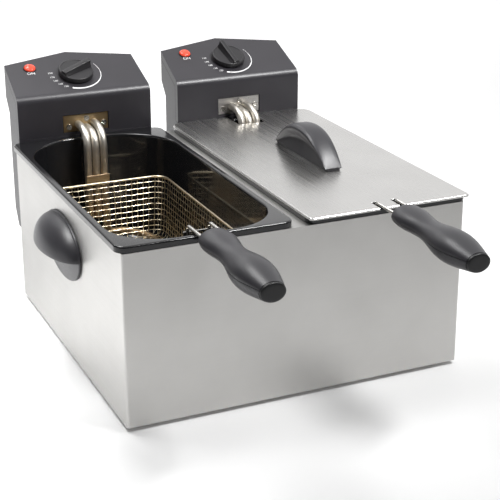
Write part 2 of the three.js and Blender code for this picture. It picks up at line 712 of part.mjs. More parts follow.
function buildBasket(bay, sideName) {
  const basket = new THREE.Group();
  basket.position.y = BASKET_SHIFT[sideName];
  bay.add(basket);
  addPiece(basket, `basket_mesh_${sideName}`, basketTub(), BRIGHT_STEEL);
  addPiece(basket, `basket_rim_${sideName}`, basketHoop(), BRIGHT_STEEL);
  addPiece(basket, `handle_bracket_${sideName}`, handleBracket(), BRIGHT_STEEL);
  buildGrip(basket, sideName);
}

// ---- Lid ----------------------------------------------------------------------------------------

function lidSheet() {
  const { halfX, front, rear, top, sheet, hem } = LID;
  const outline = (inset) => ({
    halfX: halfX - inset,
    front: front + inset,
    rear: rear - inset,
    rFront: 6 - inset,
    rRear: 14 - inset,
  });
  let lid = toSolid(loft([
    cornerLoop(outline(0), top - hem, 4),
    cornerLoop(outline(0), top - 1, 4),
    cornerLoop(outline(1), top, 4),
  ]));
  const hollow = prism(loopShape(cornerLoop(outline(sheet), 0, 4)), top - hem - 1, top - sheet);
  lid = lid.subtract(toSolid(hollow));
  const { halfX: notchX, front: notchFront } = LID_NOTCH;
  lid = lid.subtract(toSolid(box(-notchX, notchX, notchFront, rear + 1, top - hem - 1, top + 1)));
  for (const side of [-1, 1]) {
    const middle = side * WIRE.halfPitch;
    const { halfWidth, rear: slotRear } = LID_SLOT;
    lid = lid.subtract(toSolid(box(
      middle - halfWidth, middle + halfWidth, front - 1, slotRear, top - hem - 1, top + 1)));
  }
  const screwHole = cylinder(LID_SCREW.hole, 10, 12);
  for (const y of LID_SCREWS_Y) {
    lid = lid.subtract(toSolid(screwHole.clone().translate(0, y, top)));
  }
  return toGeometry(lid);
}

// An arched grip: narrow at the foot, wider at its crown, tapering to both ends.
function lidHandle() {
  const { halfLength, height, foot, crownEnd, crown } = LID_HANDLE;
  const stations = 14;
  const base = LID.top + GAP;
  const rings = Array.from({ length: stations + 1 }, (_, i) => {
    const y = halfLength * Math.cos((i / stations) * Math.PI);
    const share = Math.abs(y / halfLength);
    const h = 3 + (height - 3) * (1 - share ** 2.2);
    const wide = crownEnd + (crown - crownEnd) * (1 - share ** 2);
    const waist = foot * (1 - 0.35 * (1 - share));
    const half = [
      [foot, 0], [waist, 0.35], [waist, 0.55], [wide, 0.84], [0.86 * wide, 0.95], [0.5 * wide, 1],
    ];
    const right = half.map(([x, z]) => new THREE.Vector3(x, y, base + h * z));
    const left = half.map(([x, z]) => new THREE.Vector3(-x, y, base + h * z)).reverse();
    return [...right, ...left];
  });
  let solid = toSolid(loft(rings));
  for (const y of LID_SCREWS_Y) {
    solid = solid.subtract(toSolid(cylinder(LID_SCREW.shank + GAP, 20, 12).translate(0, y, base)));
  }
  return toGeometry(solid);
}

// A pan-head screw put up through the lid into the handle.
function lidScrew() {
  const { head, headHeight, shank, reach } = LID_SCREW;
  const headTop = LID.top - LID.sheet - GAP;
  const headBottom = headTop - headHeight;
  const tip = LID.top + reach;
  const profile = [
    [0, headBottom], [head, headBottom], [head, headTop], [shank, headTop], [shank, tip], [0, tip],
  ];
  return lathe(profile, 16).rotateX(Math.PI / 2);
}

function buildLid(bay) {
  addPiece(bay, 'lid_sheet', lidSheet(), STEEL);
  addPiece(bay, 'lid_handle', lidHandle(), GRIP_PLASTIC);
  addPiece(bay, 'lid_screw_front', lidScrew(), BRIGHT_STEEL).position.y = LID_SCREWS_Y[0];
  addPiece(bay, 'lid_screw_rear', lidScrew(), BRIGHT_STEEL).position.y = LID_SCREWS_Y[1];
}

// ---- Assembly -----------------------------------------------------------------------------------

buildHousing();
for (const [sideName, side] of [['left', -1], ['right', 1]]) {
  const bay = new THREE.Group();
  bay.position.x = side * BAY_X;
  group.add(bay);
  addPiece(bay, `pan_${sideName}`, pan(), ENAMEL);
  buildUnit(bay, sideName);
  buildBasket(bay, sideName);
  if (sideName === 'right') {
    buildLid(bay);
  }
}

export default group;
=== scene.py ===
import math

import bmesh
import bpy
from mathutils import Matrix, Vector


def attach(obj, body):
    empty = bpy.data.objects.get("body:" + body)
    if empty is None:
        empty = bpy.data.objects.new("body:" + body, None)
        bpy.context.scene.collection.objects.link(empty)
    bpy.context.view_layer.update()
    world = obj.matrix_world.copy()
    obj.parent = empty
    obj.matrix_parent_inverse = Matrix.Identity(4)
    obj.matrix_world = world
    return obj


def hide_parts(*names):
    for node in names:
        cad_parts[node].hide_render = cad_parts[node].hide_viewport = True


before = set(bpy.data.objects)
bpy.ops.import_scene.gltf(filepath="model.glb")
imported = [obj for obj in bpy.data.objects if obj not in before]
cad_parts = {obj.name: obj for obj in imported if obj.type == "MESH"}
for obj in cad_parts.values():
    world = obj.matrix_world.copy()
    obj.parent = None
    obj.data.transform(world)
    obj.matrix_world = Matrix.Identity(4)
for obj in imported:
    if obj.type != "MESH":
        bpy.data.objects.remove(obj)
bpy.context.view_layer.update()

# ---- Dimensions -----------------------------------------------------------------------------------

ROW_SHIFT = 43.0                      # the housing's middle stands this far behind the frame's origin
SIDES = {"left": -1, "right": 1}
BAY_X = 105.5
GAP = 0.3

HOUSING_HALF_X = 198.5
HOUSING_TOP = 197.0
RIM = {"half_x": 97.5, "front": -199.5, "rear": 200.0, "r_front": 12.0, "r_rear": 12.0}
RIM_TOP = 204.5
RIM_ROLL = 2.2
RIM_SHEET = 1.5
WELL = {"half_x": 89.0, "front": -193.0, "rear": 190.0, "r_front": 58.0, "r_rear": 73.0}
WELL_BOTTOM = 66.0
WELL_DRAFT = 6.0
WELL_HEEL = 14.0
WELL_EDGE = {"spread": 2.0, "drop": 3.5}

PANEL_ANGLE = math.radians(24)
PANEL_EDGE = (203.0, 258.0)           # depth and height where the sloping panel would meet the front
KNOB = {"slope": 40.5, "radius": 22.0, "skirt": 7.0, "bar": 6.0, "bar_top": 3.0, "high": 15.0, "low": 11.0}
KNOB_TURN = {"left": 24.0, "right": 98.0}
KNOB_LIFT = 0.6
KNOB_GROOVE = 0.35
LAMP = {"x": -54.5, "slope": 60.0, "stem": 6.6, "lens": 7.4, "flange": 8.2, "dome": 3.2}
DIAL = {"x": 1.2, "slope": 42.9, "band": 31.4, "hairline": 0.35, "broad": 2.4, "raised": 0.12}
DIAL_NUMBERS = {"130": -128, "150": -142, "160": -157, "170": -171, "190": -186}    # bearings, degrees
DIAL_PRINT = {"spoke": 33.0, "size": 4.2}
LAMP_PRINT = {"x": -0.8, "slope": -10.5, "size": 6.6}                 # from the middle of the lens
PRINT_LIFT = 0.07

TUBE = {"radius": 4.7, "leg_x": 10.4, "leg_y": 168.0, "plate_z": 219.0, "bend": 27.0, "floor_z": 82.0}
TUBE_START = 203.9
FLOOR_RUN = {"foot_x": 36.0, "foot_turn": 12.0, "outer_x": 58.0, "inner_x": 19.0, "turn": 18.0,
             "rear": 130.0, "front": -140.0, "tongue": 90.0}
SENSOR = {"drop": 5.0, "bend": 22.0, "foot": 22.0}

BASKET = {"half_x": 73.5, "front": -165.0, "rear": 125.0, "r_front": 26.0, "r_rear": 18.0}
BASKET_TOP = 161.5
BASKET_BOTTOM = 90.0
BASKET_WALL = 2.5
BASKET_TAPER = 6.0
BASKET_HEEL = 5.0
BASKET_SHIFT = {"left": 0.0, "right": -16.0}
BASKET_SPAN = BASKET["rear"] - BASKET["front"]
BASKET_MIDDLE = (BASKET["rear"] + BASKET["front"]) / 2
WALL_SHARE = 0.86                     # the part of a wire's way down that is straight wall
MESH = {"wire": 0.45, "sides": 6, "weave": 0.42, "long": 19, "cross": 39, "hoops": 10}
MESH_REACH = {"long_x": 70.0, "cross_inset": 3.0, "floor_inset": 15.0, "floor_x": 0.88, "edge": 2.0}
HOOPS = {"first": 0.6, "reach": 0.9, "step": 3.8}
BEND_LEVELS = [0.93, 0.97, 1.0]       # where a wire bends from the wall into the floor
RIM_WIRE = 1.6
WIRE = {"radius": 2.0, "half_pitch": 12.0, "rise_y": -172.0, "run_z": 206.8, "end": -232.0}
WIRE_FOOT = {"y": BASKET["front"] - 4.6, "bottom": 144.0, "knee": 175.0, "shoulder": 185.0}
FOOT_PLATE = {"half_x": 12.0, "half_y": 0.8, "low": 146.0, "high": 164.0}
BRIDGE = {"half_x": 17.0, "low": 187.0, "high": 200.0, "half_y": 0.8}
BRIDGE_SLOT = {"half_x": 4.0, "low": 193.0, "high": 198.0}
GRIP = {"back": -213.0, "front": -354.0, "seam_z": 202.3, "cap": 3.0, "drop": 6.0, "below": 1.5}
GRIP_SECTION = {"neck": 7.6, "flatness": 0.75, "collar_flatter": 0.15}
GRIP_COLLAR = {"swell": 11.1, "at": 0.09, "length": 0.22}             # places and lengths are shares
GRIP_BULB = {"swell": 14.2, "at": 0.685, "length": 0.32}
GRIP_SEAM = {"upper": 0.35, "lower": -0.15}

LID_TOP = 205.7
LID_HANDLE = {"half_length": 67.0, "height": 38.5, "tip": 3.0, "foot": 8.5, "waist": 0.35,
              "crown_end": 10.8, "crown": 14.5}
SIDE_GRIP = {"y": 3.0, "z": 138.5, "depth": 30.0, "half_y": 66.0, "half_z": 37.0, "wall": 3.0, "lip": 1.0}

# How the kept nodes' edges are rounded; the weld distance is in metres.
SOFTEN = {"weld": 0.000002, "flat": math.radians(0.8), "corner": math.radians(32), "segments": 3}

# The camera's place in metres, its turns in degrees and its lens in millimetres.
CAMERA = {
    "location": (-0.579917, -1.312534, 0.66549),
    "turns": (70.217, -0.117, -24.691),
    "lens": 95.13,
    "sensor": 36.0,
    "shift": (-0.0220, -0.0537),
}

# Name, place, aim, width and length in metres, watts, and spread in degrees.
LIGHTS = [
    ("overhead", (-0.45, 0.6, 1.8), (-0.05, 0.0, 0.0), (0.9, 0.5), 15, 180),
    ("upper_strip", (0.68, -0.6, 1.6), (0.0, 0.25, 0.25), (0.7, 0.16), 4, 60),
    ("rear_strip", (-0.3, 1.9, 1.6), (0.0, 0.1, 0.2), (1.6, 0.2), 4, 180),
    ("left_window", (-1.9, 0.0, 0.25), (-0.2, -0.1, 0.0), (1.4, 0.4), 2, 180),
    ("left_floor", (-0.45, 0.1, 0.6), (-0.33, 0.1, 0.0), (0.2, 0.5), 0.45, 60),
]
SKY_BEARING = (0.6, 0.8, 0.0)         # the studio is brightest to the rear and right
FLOOR_REACH = 12.0                    # metres
NOISE_SPREAD = (0.3, 0.7)             # the span of a noise's values that a colour or a roughness follows


def row(x, y, z):
    """A point in millimetres from the housing's middle, in metres in the shared frame."""
    return Vector((x, y + ROW_SHIFT, z)) / 1000


# ---- Camera, light and floor ----------------------------------------------------------------------

def add_camera():
    """The camera, fitted to the object seen from above its front left corner."""
    camera = bpy.data.objects.new("camera", bpy.data.cameras.new("camera"))
    bpy.context.scene.collection.objects.link(camera)
    camera.location = CAMERA["location"]
    camera.rotation_euler = [math.radians(turn) for turn in CAMERA["turns"]]
    camera.data.lens = CAMERA["lens"]
    camera.data.sensor_width = CAMERA["sensor"]
    camera.data.shift_x, camera.data.shift_y = CAMERA["shift"]
    bpy.context.scene.camera = camera


def add_area_light(name, location, target, size, watts, spread):
    """A soft box that faces its target."""
    light = bpy.data.objects.new(name, bpy.data.lights.new(name, "AREA"))
    bpy.context.scene.collection.objects.link(light)
    light.data.shape = "RECTANGLE"
    light.data.size, light.data.size_y = size
    light.data.energy = watts
    light.data.spread = math.radians(spread)
    light.location = location
    light.rotation_euler = (Vector(target) - Vector(location)).to_track_quat("-Z", "Y").to_euler()


def add_world():
    """Even light that grows towards the rear right and towards the zenith."""
    world = bpy.data.worlds.new("studio")
    world.use_nodes = True
    tree = world.node_tree
    direction = tree.nodes.new("ShaderNodeTexCoord")
    bearing = tree.nodes.new("ShaderNodeVectorMath")
    bearing.operation = "DOT_PRODUCT"
    bearing.inputs[1].default_value = SKY_BEARING
    tree.links.new(direction.outputs["Generated"], bearing.inputs[0])
    depth = map_range(tree, bearing.outputs["Value"], (0.1, 0.92), (0.02, 0.90))
    zenith = map_range(tree, coordinate(tree, "Generated", "Z"), (0.6, 1.0), (0.0, 0.75))
    total = tree.nodes.new("ShaderNodeMath")
    tree.links.new(depth, total.inputs[0])
    tree.links.new(zenith, total.inputs[1])
    background = tree.nodes["Background"]
    tree.links.new(total.outputs["Value"], background.inputs["Strength"])
    background.inputs["Color"].default_value = (1, 1, 1, 1)
    bpy.context.scene.world = world


def add_studio():
    """The surroundings: an even sky, five soft boxes and a white floor."""
    bpy.context.scene.view_settings.view_transform = "Standard"
    add_world()
    for light in LIGHTS:
        add_area_light(*light)

    floor = Shape()
    corners = ((-1, -1), (1, -1), (1, 1), (-1, 1))
    floor.vertices = [Vector((x * FLOOR_REACH, y * FLOOR_REACH, 0)) for x, y in corners]
    floor.faces = [(0, 1, 2, 3)]
    backdrop = floor.to_object("floor", material_floor())


# ---- Mesh building --------------------------------------------------------------------------------

def full_turn(steps):
    """Angles evenly spaced round a circle."""
    return [2 * math.pi * j / steps for j in range(steps)]


def circle(radius, height, steps):
    """Points round the Z axis."""
    return [Vector((radius * math.cos(a), radius * math.sin(a), height)) for a in full_turn(steps)]


class Shape:
    """Vertices and faces of one piece, gathered part by part."""

    def __init__(self):
        self.vertices = []
        self.faces = []

    def loft(self, rings, closed=False):
        """Rings of equal length joined one to the next: closed on itself, or capped at both ends."""
        first = len(self.vertices)
        count = len(rings[0])
        for ring in rings:
            self.vertices.extend(ring)
        spans = len(rings) if closed else len(rings) - 1
        for i in range(spans):
            here = first + i * count
            there = first + (i + 1) % len(rings) * count
            for j in range(count):
                k = (j + 1) % count
                self.faces.append((here + j, here + k, there + k, there + j))
        if not closed:
            self.faces.append(tuple(reversed(range(first, first + count))))
            last = first + (len(rings) - 1) * count
            self.faces.append(tuple(range(last, last + count)))

    def tube(self, path, radius, sides, closed=False):
        """A round bar along a path of points, its section carried along without twist."""
        count = len(path)
        tangents = []
        for i in range(count):
            before = path[i - 1] if closed or i else path[0]
            after = path[(i + 1) % count] if closed or i + 1 < count else path[-1]
            tangents.append((after - before).normalized())
        across = tangents[0].orthogonal()
        rings = []
        for point, along in zip(path, tangents):
            across = (across - along * across.dot(along)).normalized()
            up = along.cross(across)
            rings.append([
                point + (across * math.cos(a) + up * math.sin(a)) * radius for a in full_turn(sides)
            ])
        self.loft(rings, closed=closed)

    def lathe(self, profile, steps=64):
        """A profile of (radius, height) turned about +Z, from axis to axis."""
        self.loft([circle(radius, height, steps) for radius, height in profile])

    def place(self, matrix):
        """All of it moved by a matrix in millimetres, then put into the shared frame."""
        self.vertices = [row(*(matrix @ Vector(point))) for point in self.vertices]
        return self

    def to_object(self, name, material, edge=40):
        """A new object, with its normals outwards and edges sharper than an angle left sharp."""
        mesh = bpy.data.meshes.new(name)
        mesh.from_pydata([tuple(point) for point in self.vertices], [], self.faces)
        work = bmesh.new()
        work.from_mesh(mesh)
        bmesh.ops.remove_doubles(work, verts=work.verts, dist=1e-6)
        bmesh.ops.recalc_face_normals(work, faces=work.faces)
        work.to_mesh(mesh)
        work.free()
        mesh.materials.append(material)
        mesh.shade_smooth()
        mesh.set_sharp_from_angle(angle=math.radians(edge))
        made = bpy.data.objects.new(name, mesh)
        bpy.context.scene.collection.objects.link(made)
        return made


def add_piece(shape, name, body, material, slot, replaces=(), edge=40):
    """The finished piece, riding on its body and standing for the nodes that it replaces."""
    made = shape.to_object(name, material, edge)
    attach(made, body)
    if replaces:
        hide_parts(*replaces)
    return made


def bezier(start, corner, stop, share):
    """A point of the curve that leaves start towards a corner and reaches stop from it."""
    return start.lerp(corner, share).lerp(corner.lerp(stop, share), share)


def rounded(points, steps):
    """Straight runs whose corners are rounded; each point is (x, y, z, reach of its corner)."""
    at = [Vector(point[:3]) for point in points]
    path = [at[0]]
    for i in range(1, len(at) - 1):
        reach = points[i][3]
        start = at[i] + (at[i - 1] - at[i]).normalized() * reach
        stop = at[i] + (at[i + 1] - at[i]).normalized() * reach
        path.extend(bezier(start, at[i], stop, k / steps) for k in range(steps + 1))
    path.append(at[-1])
    return path


def smooth_curve(points, steps=6):
    """A Catmull-Rom curve through points of two coordinates."""
    at = [Vector(point) for point in points]
    padded = [2 * at[0] - at[1], *at, 2 * at[-1] - at[-2]]
    curve = []
    for i in range(1, len(padded) - 2):
        a, b, c, d = padded[i - 1:i + 3]
        for k in range(steps):
            t = k / steps
            curve.append(0.5 * (2 * b + (c - a) * t + (2 * a - 5 * b + 4 * c - d) * t * t
                                + (3 * b - a - 3 * c + d) * t ** 3))
    curve.append(at[-1])
    return curve


def corner_loop(outline, offset, corner_share=1.0, steps=16):
    """(x, y) points round a rectangle with round corners, moved outwards by an offset."""
    half_x = outline["half_x"] + offset
    front = outline["front"] - offset
    rear = outline["rear"] + offset
    r_front = outline["r_front"] + offset * corner_share
    r_rear = outline["r_rear"] + offset * corner_share
    corners = [
        (-half_x + r_front, front + r_front, r_front, 2),
        (half_x - r_front, front + r_front, r_front, 3),
        (half_x - r_rear, rear - r_rear, r_rear, 0),
        (-half_x + r_rear, rear - r_rear, r_rear, 1),
    ]
    loop = []
    for x, y, radius, quarter in corners:
        for i in range(steps + 1):
            angle = (quarter + i / steps) * math.pi / 2
            loop.append((x + radius * math.cos(angle), y + radius * math.sin(angle)))
    return loop


def quarter_arc(centre, radius, start, steps=5):
    """(offset, height) points on a quarter circle, the start counted in quarter turns."""
    turns = [(start + i / steps) * math.pi / 2 for i in range(steps + 1)]
    return [(centre[0] + radius * math.cos(a), centre[1] + radius * math.sin(a)) for a in turns]


def panel_matrix(x, slope, lift=0.0, turn=0.0):
    """Stands a piece square to the sloping panel, at a distance up its slope."""
    y = PANEL_EDGE[0] + slope * math.cos(PANEL_ANGLE) - lift * math.sin(PANEL_ANGLE)
    z = PANEL_EDGE[1] + slope * math.sin(PANEL_ANGLE) + lift * math.cos(PANEL_ANGLE)
    tilt = Matrix.Rotation(PANEL_ANGLE, 4, "X")
    return Matrix.Translation((x, y, z)) @ tilt @ Matrix.Rotation(math.radians(turn), 4, "Z")


# ---- Materials ------------------------------------------------------------------------------------

def new_material(name, base, roughness, metallic=0.0, **sockets):
    """A Principled material, with its plain values on the shader's own sockets."""
    material = bpy.data.materials.new(name)
    material.use_nodes = True
    shader = material.node_tree.nodes["Principled BSDF"]
    shader.inputs["Base Color"].default_value = (*base, 1)
    shader.inputs["Roughness"].default_value = roughness
    shader.inputs["Metallic"].default_value = metallic
    for socket, value in sockets.items():
        shader.inputs[socket.replace("_", " ")].default_value = value
    return material


def map_range(tree, value, source, target=(0.0, 1.0)):
    """A socket's value, its source range mapped to the target range and held inside it."""
    span = tree.nodes.new("ShaderNodeMapRange")
    span.inputs["From Min"].default_value, span.inputs["From Max"].default_value = source
    span.inputs["To Min"].default_value, span.inputs["To Max"].default_value = target
    tree.links.new(value, span.inputs["Value"])
    return span.outputs["Result"]


def coordinate(tree, space, axis):
    """One axis of a texture coordinate."""
    place = tree.nodes.new("ShaderNodeTexCoord")
    split = tree.nodes.new("ShaderNodeSeparateXYZ")
    tree.links.new(place.outputs[space], split.inputs["Vector"])
    return split.outputs[axis]


def noise(material, scale, stretch=(1, 1, 1), detail=3.0):
    """Noise fixed to the piece, with its grain per metre and its stretch along each axis."""
    nodes, links = material.node_tree.nodes, material.node_tree.links
    place = nodes.new("ShaderNodeTexCoord")
    mapping = nodes.new("ShaderNodeMapping")
    mapping.inputs["Scale"].default_value = stretch
    texture = nodes.new("ShaderNodeTexNoise")
    texture.inputs["Scale"].default_value = scale
    texture.inputs["Detail"].default_value = detail
    links.new(place.outputs["Object"], mapping.inputs["Vector"])
    links.new(mapping.outputs["Vector"], texture.inputs["Vector"])
    return texture.outputs["Fac"]


def vary_colour(material, factor, low, high):
    """The base colour runs between two tones with the noise."""
    nodes, links = material.node_tree.nodes, material.node_tree.links
    ramp = nodes.new("ShaderNodeValToRGB")
    for stop, place, tone in zip(ramp.color_ramp.elements, NOISE_SPREAD, (low, high)):
        stop.position = place
        stop.color = (*tone, 1)
    links.new(factor, ramp.inputs["Fac"])
    links.new(ramp.outputs["Color"], nodes["Principled BSDF"].inputs["Base Color"])


def vary_roughness(material, factor, low, high):
    """The roughness runs between two values with the noise."""
    tree = material.node_tree
    roughness = map_range(tree, factor, NOISE_SPREAD, (low, high))
    tree.links.new(roughness, tree.nodes["Principled BSDF"].inputs["Roughness"])


def add_bump(material, factor, height, strength):
    """Surface relief from the noise, its height in metres."""
    nodes, links = material.node_tree.nodes, material.node_tree.links
    bump = nodes.new("ShaderNodeBump")
    bump.inputs["Strength"].default_value = strength
    bump.inputs["Distance"].default_value = height
    links.new(factor, bump.inputs["Height"])
    links.new(bump.outputs["Normal"], nodes["Principled BSDF"].inputs["Normal"])


def scaled(tone, factor):
    """A tone made darker or lighter."""
    return tuple(channel * factor for channel in tone)


def material_floor():
    """White paper, with a glow that grows towards the rear, as a lit studio sweep has."""
    material = new_material("floor", (0.93, 0.93, 0.93), 0.6, Specular_IOR_Level=0.2)
    vary_colour(material, noise(material, 3), (0.925, 0.925, 0.925), (0.935, 0.935, 0.935))
    tree = material.node_tree
    shader = tree.nodes["Principled BSDF"]
    shader.inputs["Emission Color"].default_value = (1, 1, 1, 1)
    glow = map_range(tree, coordinate(tree, "Object", "Y"), (0.0, 1.5), (0.06, 0.5))
    tree.links.new(glow, shader.inputs["Emission Strength"])
    return material


def material_brushed(name, tone, roughness, stretch):
    """Sheet steel with fine straight brushing and a faint cloudiness."""
    material = new_material(name, tone, roughness, 1.0)
    lines = noise(material, 1, stretch, 4)
    vary_roughness(material, lines, roughness - 0.05, roughness + 0.06)
    vary_colour(material, noise(material, 14), scaled(tone, 0.96), scaled(tone, 1.03))
    add_bump(material, lines, 0.000004, 0.4)
    return material


def material_bright(name, tone, roughness, speck=900):
    """Drawn wire and small plated pieces."""
    material = new_material(name, tone, roughness, 1.0)
    grain = noise(material, speck)
    vary_roughness(material, grain, roughness - 0.06, roughness + 0.08)
    vary_colour(material, noise(material, 60), scaled(tone, 0.88), tone)
    add_bump(material, grain, 0.00001, 0.4)
    return material


def material_tube():
    """Nickel-plated heater tube, darker and browner towards the bottom."""
    material = new_material("tube_nickel", (0.72, 0.66, 0.57), 0.42, 1.0)
    nodes, links = material.node_tree.nodes, material.node_tree.links
    height = map_range(material.node_tree, coordinate(material.node_tree, "Object", "Z"), (0.12, 0.21))
    ramp = nodes.new("ShaderNodeValToRGB")
    warm, pale = ramp.color_ramp.elements
    warm.color = (0.62, 0.45, 0.27, 1)
    pale.color = (0.82, 0.78, 0.71, 1)
    blotch = nodes.new("ShaderNodeMix")
    blotch.data_type = "RGBA"
    blotch.blend_type = "MULTIPLY"
    blotch.inputs["Factor"].default_value = 0.25
    links.new(height, ramp.inputs["Fac"])
    links.new(ramp.outputs["Color"], blotch.inputs["A"])
    links.new(noise(material, 90), blotch.inputs["B"])
    links.new(blotch.outputs["Result"], nodes["Principled BSDF"].inputs["Base Color"])
    vary_roughness(material, noise(material, 400), 0.36, 0.5)
    return material


def material_plastic(name, tone, roughness, grain=1800, height=0.00002):
    """Moulded plastic with a fine spark-eroded grain."""
    material = new_material(name, tone, roughness, IOR=1.5)
    texture = noise(material, grain, detail=2)
    vary_colour(material, noise(material, 25), scaled(tone, 0.93), scaled(tone, 1.06))
    vary_roughness(material, texture, roughness - 0.05, roughness + 0.06)
    add_bump(material, texture, height, 0.6)
    return material


def material_enamel():
    """Black vitreous enamel: a gloss over a slightly wavy ground."""
    coat = {"Coat_Weight": 0.35, "Coat_Roughness": 0.06}
    material = new_material("enamel", (0.008, 0.008, 0.009), 0.1, **coat)
    vary_colour(material, noise(material, 700), (0.006, 0.006, 0.007), (0.014, 0.014, 0.015))
    vary_roughness(material, noise(material, 30), 0.08, 0.18)
    add_bump(material, noise(material, 45), 0.00006, 0.5)
    return material


def material_lens():
    """Red plastic with a faint painted glow."""
    # The faint red emission is a painted glow.
    material = new_material("red_lens", (0.72, 0.06, 0.03), 0.18, Emission_Strength=0.25)
    shader = material.node_tree.nodes["Principled BSDF"]
    shader.inputs["Emission Color"].default_value = (0.9, 0.1, 0.05, 1)
    vary_colour(material, noise(material, 250), (0.58, 0.04, 0.02), (0.80, 0.09, 0.05))
    return material


def material_paint():
    """White printing ink."""
    material = new_material("print_white", (0.78, 0.78, 0.78), 0.5)
    vary_colour(material, noise(material, 1500), (0.66, 0.66, 0.66), (0.84, 0.84, 0.84))
    return material


def make_materials():
    warm_steel = (0.58, 0.573, 0.558)
    charcoal = (0.030, 0.028, 0.033)
    return {
        "steel": material_brushed("brushed_steel", warm_steel, 0.40, (6, 6, 2200)),
        "lid_steel": material_brushed("lid_steel", (0.72, 0.71, 0.695), 0.28, (2200, 6, 6)),
        "rail_steel": material_brushed("rail_steel", warm_steel, 0.4, (1500, 6, 6)),
        "bright": material_bright("bright_steel", (0.80, 0.78, 0.74), 0.2),
        "basket": material_bright("basket_wire", (0.70, 0.60, 0.43), 0.3),
        "clamp": material_bright("clamp_plate", (0.72, 0.55, 0.36), 0.35, 500),
        "brass": material_bright("brass_plate", (0.62, 0.46, 0.26), 0.36, 500),
        "plate": material_bright("steel_plate", (0.72, 0.70, 0.68), 0.32, 500),
        "tube": material_tube(),
        "charcoal": material_plastic("unit_plastic", charcoal, 0.36),
        "grip": material_plastic("grip_plastic", (0.036, 0.035, 0.040), 0.36, 1400, 0.000015),
        "knob": material_plastic("knob_plastic", (0.013, 0.012, 0.014), 0.42, 1400, 0.00001),
        "black": material_plastic("black_plastic", (0.010, 0.010, 0.011), 0.4),
        "rubber": material_plastic("rubber", (0.012, 0.012, 0.012), 0.8, 600, 0.00004),
        "enamel": material_enamel(),
        "lens": material_lens(),
        "paint": material_paint(),
        "ceramic": material_plastic("ceramic", (0.62, 0.58, 0.50), 0.6, 900, 0.00003),
    }


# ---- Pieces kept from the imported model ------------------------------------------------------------

def keep(node, material, soften=0.0):
    """A node whose shape is right: it gets its material, and its sharp edges a small round."""
    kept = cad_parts[node]
    kept.data.materials.clear()
    kept.data.materials.append(material)
    if soften:
        weld = kept.modifiers.new("weld", "WELD")
        weld.merge_threshold = SOFTEN["weld"]
        flatten = kept.modifiers.new("flatten", "DECIMATE")
        flatten.decimate_type = "DISSOLVE"
        flatten.angle_limit = SOFTEN["flat"]
        bevel = kept.modifiers.new("bevel", "BEVEL")
        bevel.width = soften / 1000
        bevel.segments = SOFTEN["segments"]
        bevel.angle_limit = SOFTEN["corner"]
        bevel.use_clamp_overlap = True
        bevel.harden_normals = True
        kept.modifiers.new("normals", "WEIGHTED_NORMAL").keep_sharp = True


def keep_cad_pieces(materials):
    keep("housing_shell", materials["steel"])
    keep("base_plate", materials["rail_steel"])
    keep("lid_sheet", materials["lid_steel"], 0.25)
    for end in ("front", "rear"):
        keep(f"lid_screw_{end}", materials["bright"])
        for side in SIDES:
            keep(f"foot_{end}_{side}", materials["rubber"], 1.2)
    for side in SIDES:
        plate = materials["brass"] if side == "left" else materials["plate"]
        keep(f"unit_rail_{side}", materials["rail_steel"], 0.3)
        keep(f"front_cover_{side}", materials["charcoal"], 0.8)
        keep(f"rear_shell_{side}", materials["charcoal"], 0.8)
        keep(f"element_plate_{side}", plate, 0.3)
        keep(f"element_clamp_{side}", materials["clamp"], 0.3)
        keep(f"thermostat_{side}", materials["bright"])
        keep(f"thermal_cutout_{side}", materials["ceramic"], 0.8)
        keep(f"terminal_block_{side}", materials["ceramic"], 0.8)
        keep(f"cord_gland_{side}", materials["black"])
        keep(f"reset_button_{side}", materials["black"])
        for place in ("left", "centre", "right"):
            keep(f"plate_screw_{place}_{side}", materials["bright"], 0.2)


# ---- Housing pieces -------------------------------------------------------------------------------

def side_grip(side):
    """A cup pull: an oval plate and over its upper part a hood that is open below."""
    depth, wall = SIDE_GRIP["depth"], SIDE_GRIP["wall"]
    half_y, half_z = SIDE_GRIP["half_y"], SIDE_GRIP["half_z"]
    base_x = HOUSING_HALF_X + GAP
    fan = 40
    half_turn = [math.pi * i / fan for i in range(fan + 1)]

    def at(x, y, z):
        return Vector((side * (base_x + x), SIDE_GRIP["y"] + y, SIDE_GRIP["z"] + z))

    def reach(height, top):
        """The share of its width that an oval still has at a height, and a little at its very top."""
        least = 0.0004
        return math.sqrt(max(1 - (height / top) ** 2, least))

    def crescent(height, thin):
        """The hood's section at a height above its lip, its wall thinned by a rounding."""
        outer, inner = reach(height, half_z), reach(height, half_z - wall)
        outer_x, outer_y = (depth - thin) * outer, (half_y - thin) * outer
        inner_x, inner_y = (depth - wall + thin) * inner, (half_y - wall + thin) * inner
        points = [(outer_x * math.sin(a), outer_y * math.cos(a)) for a in half_turn]
        points += [(inner_x * math.sin(a), inner_y * math.cos(a)) for a in reversed(half_turn)]
        return [at(x, y, height - SIDE_GRIP["lip"]) for x, y in points]

    layers, top_share = 24, 0.9995
    lip = [(0.0, 1.3), (0.2, 0.7), (0.6, 0.25), (1.3, 0.0)]
    heights = [half_z * math.sin(math.pi / 2 * i / layers) for i in range(2, layers)] + [half_z * top_share]
    hood = Shape()
    hood.loft([crescent(height, thin) for height, thin in lip + [(height, 0.0) for height in heights]])

    plate = [(1.0, 0.0), (1.0, wall - 1), (0.992, wall - 0.4), (0.975, wall)]
    rings = []
    for share, x in plate:
        rings.append([
            at(x, share * half_y * math.cos(a), share * half_z * math.sin(a)) for a in full_turn(96)
        ])
    hood.loft(rings)
    return hood.place(Matrix.Identity(4))


# ---- Pans -----------------------------------------------------------------------------------------

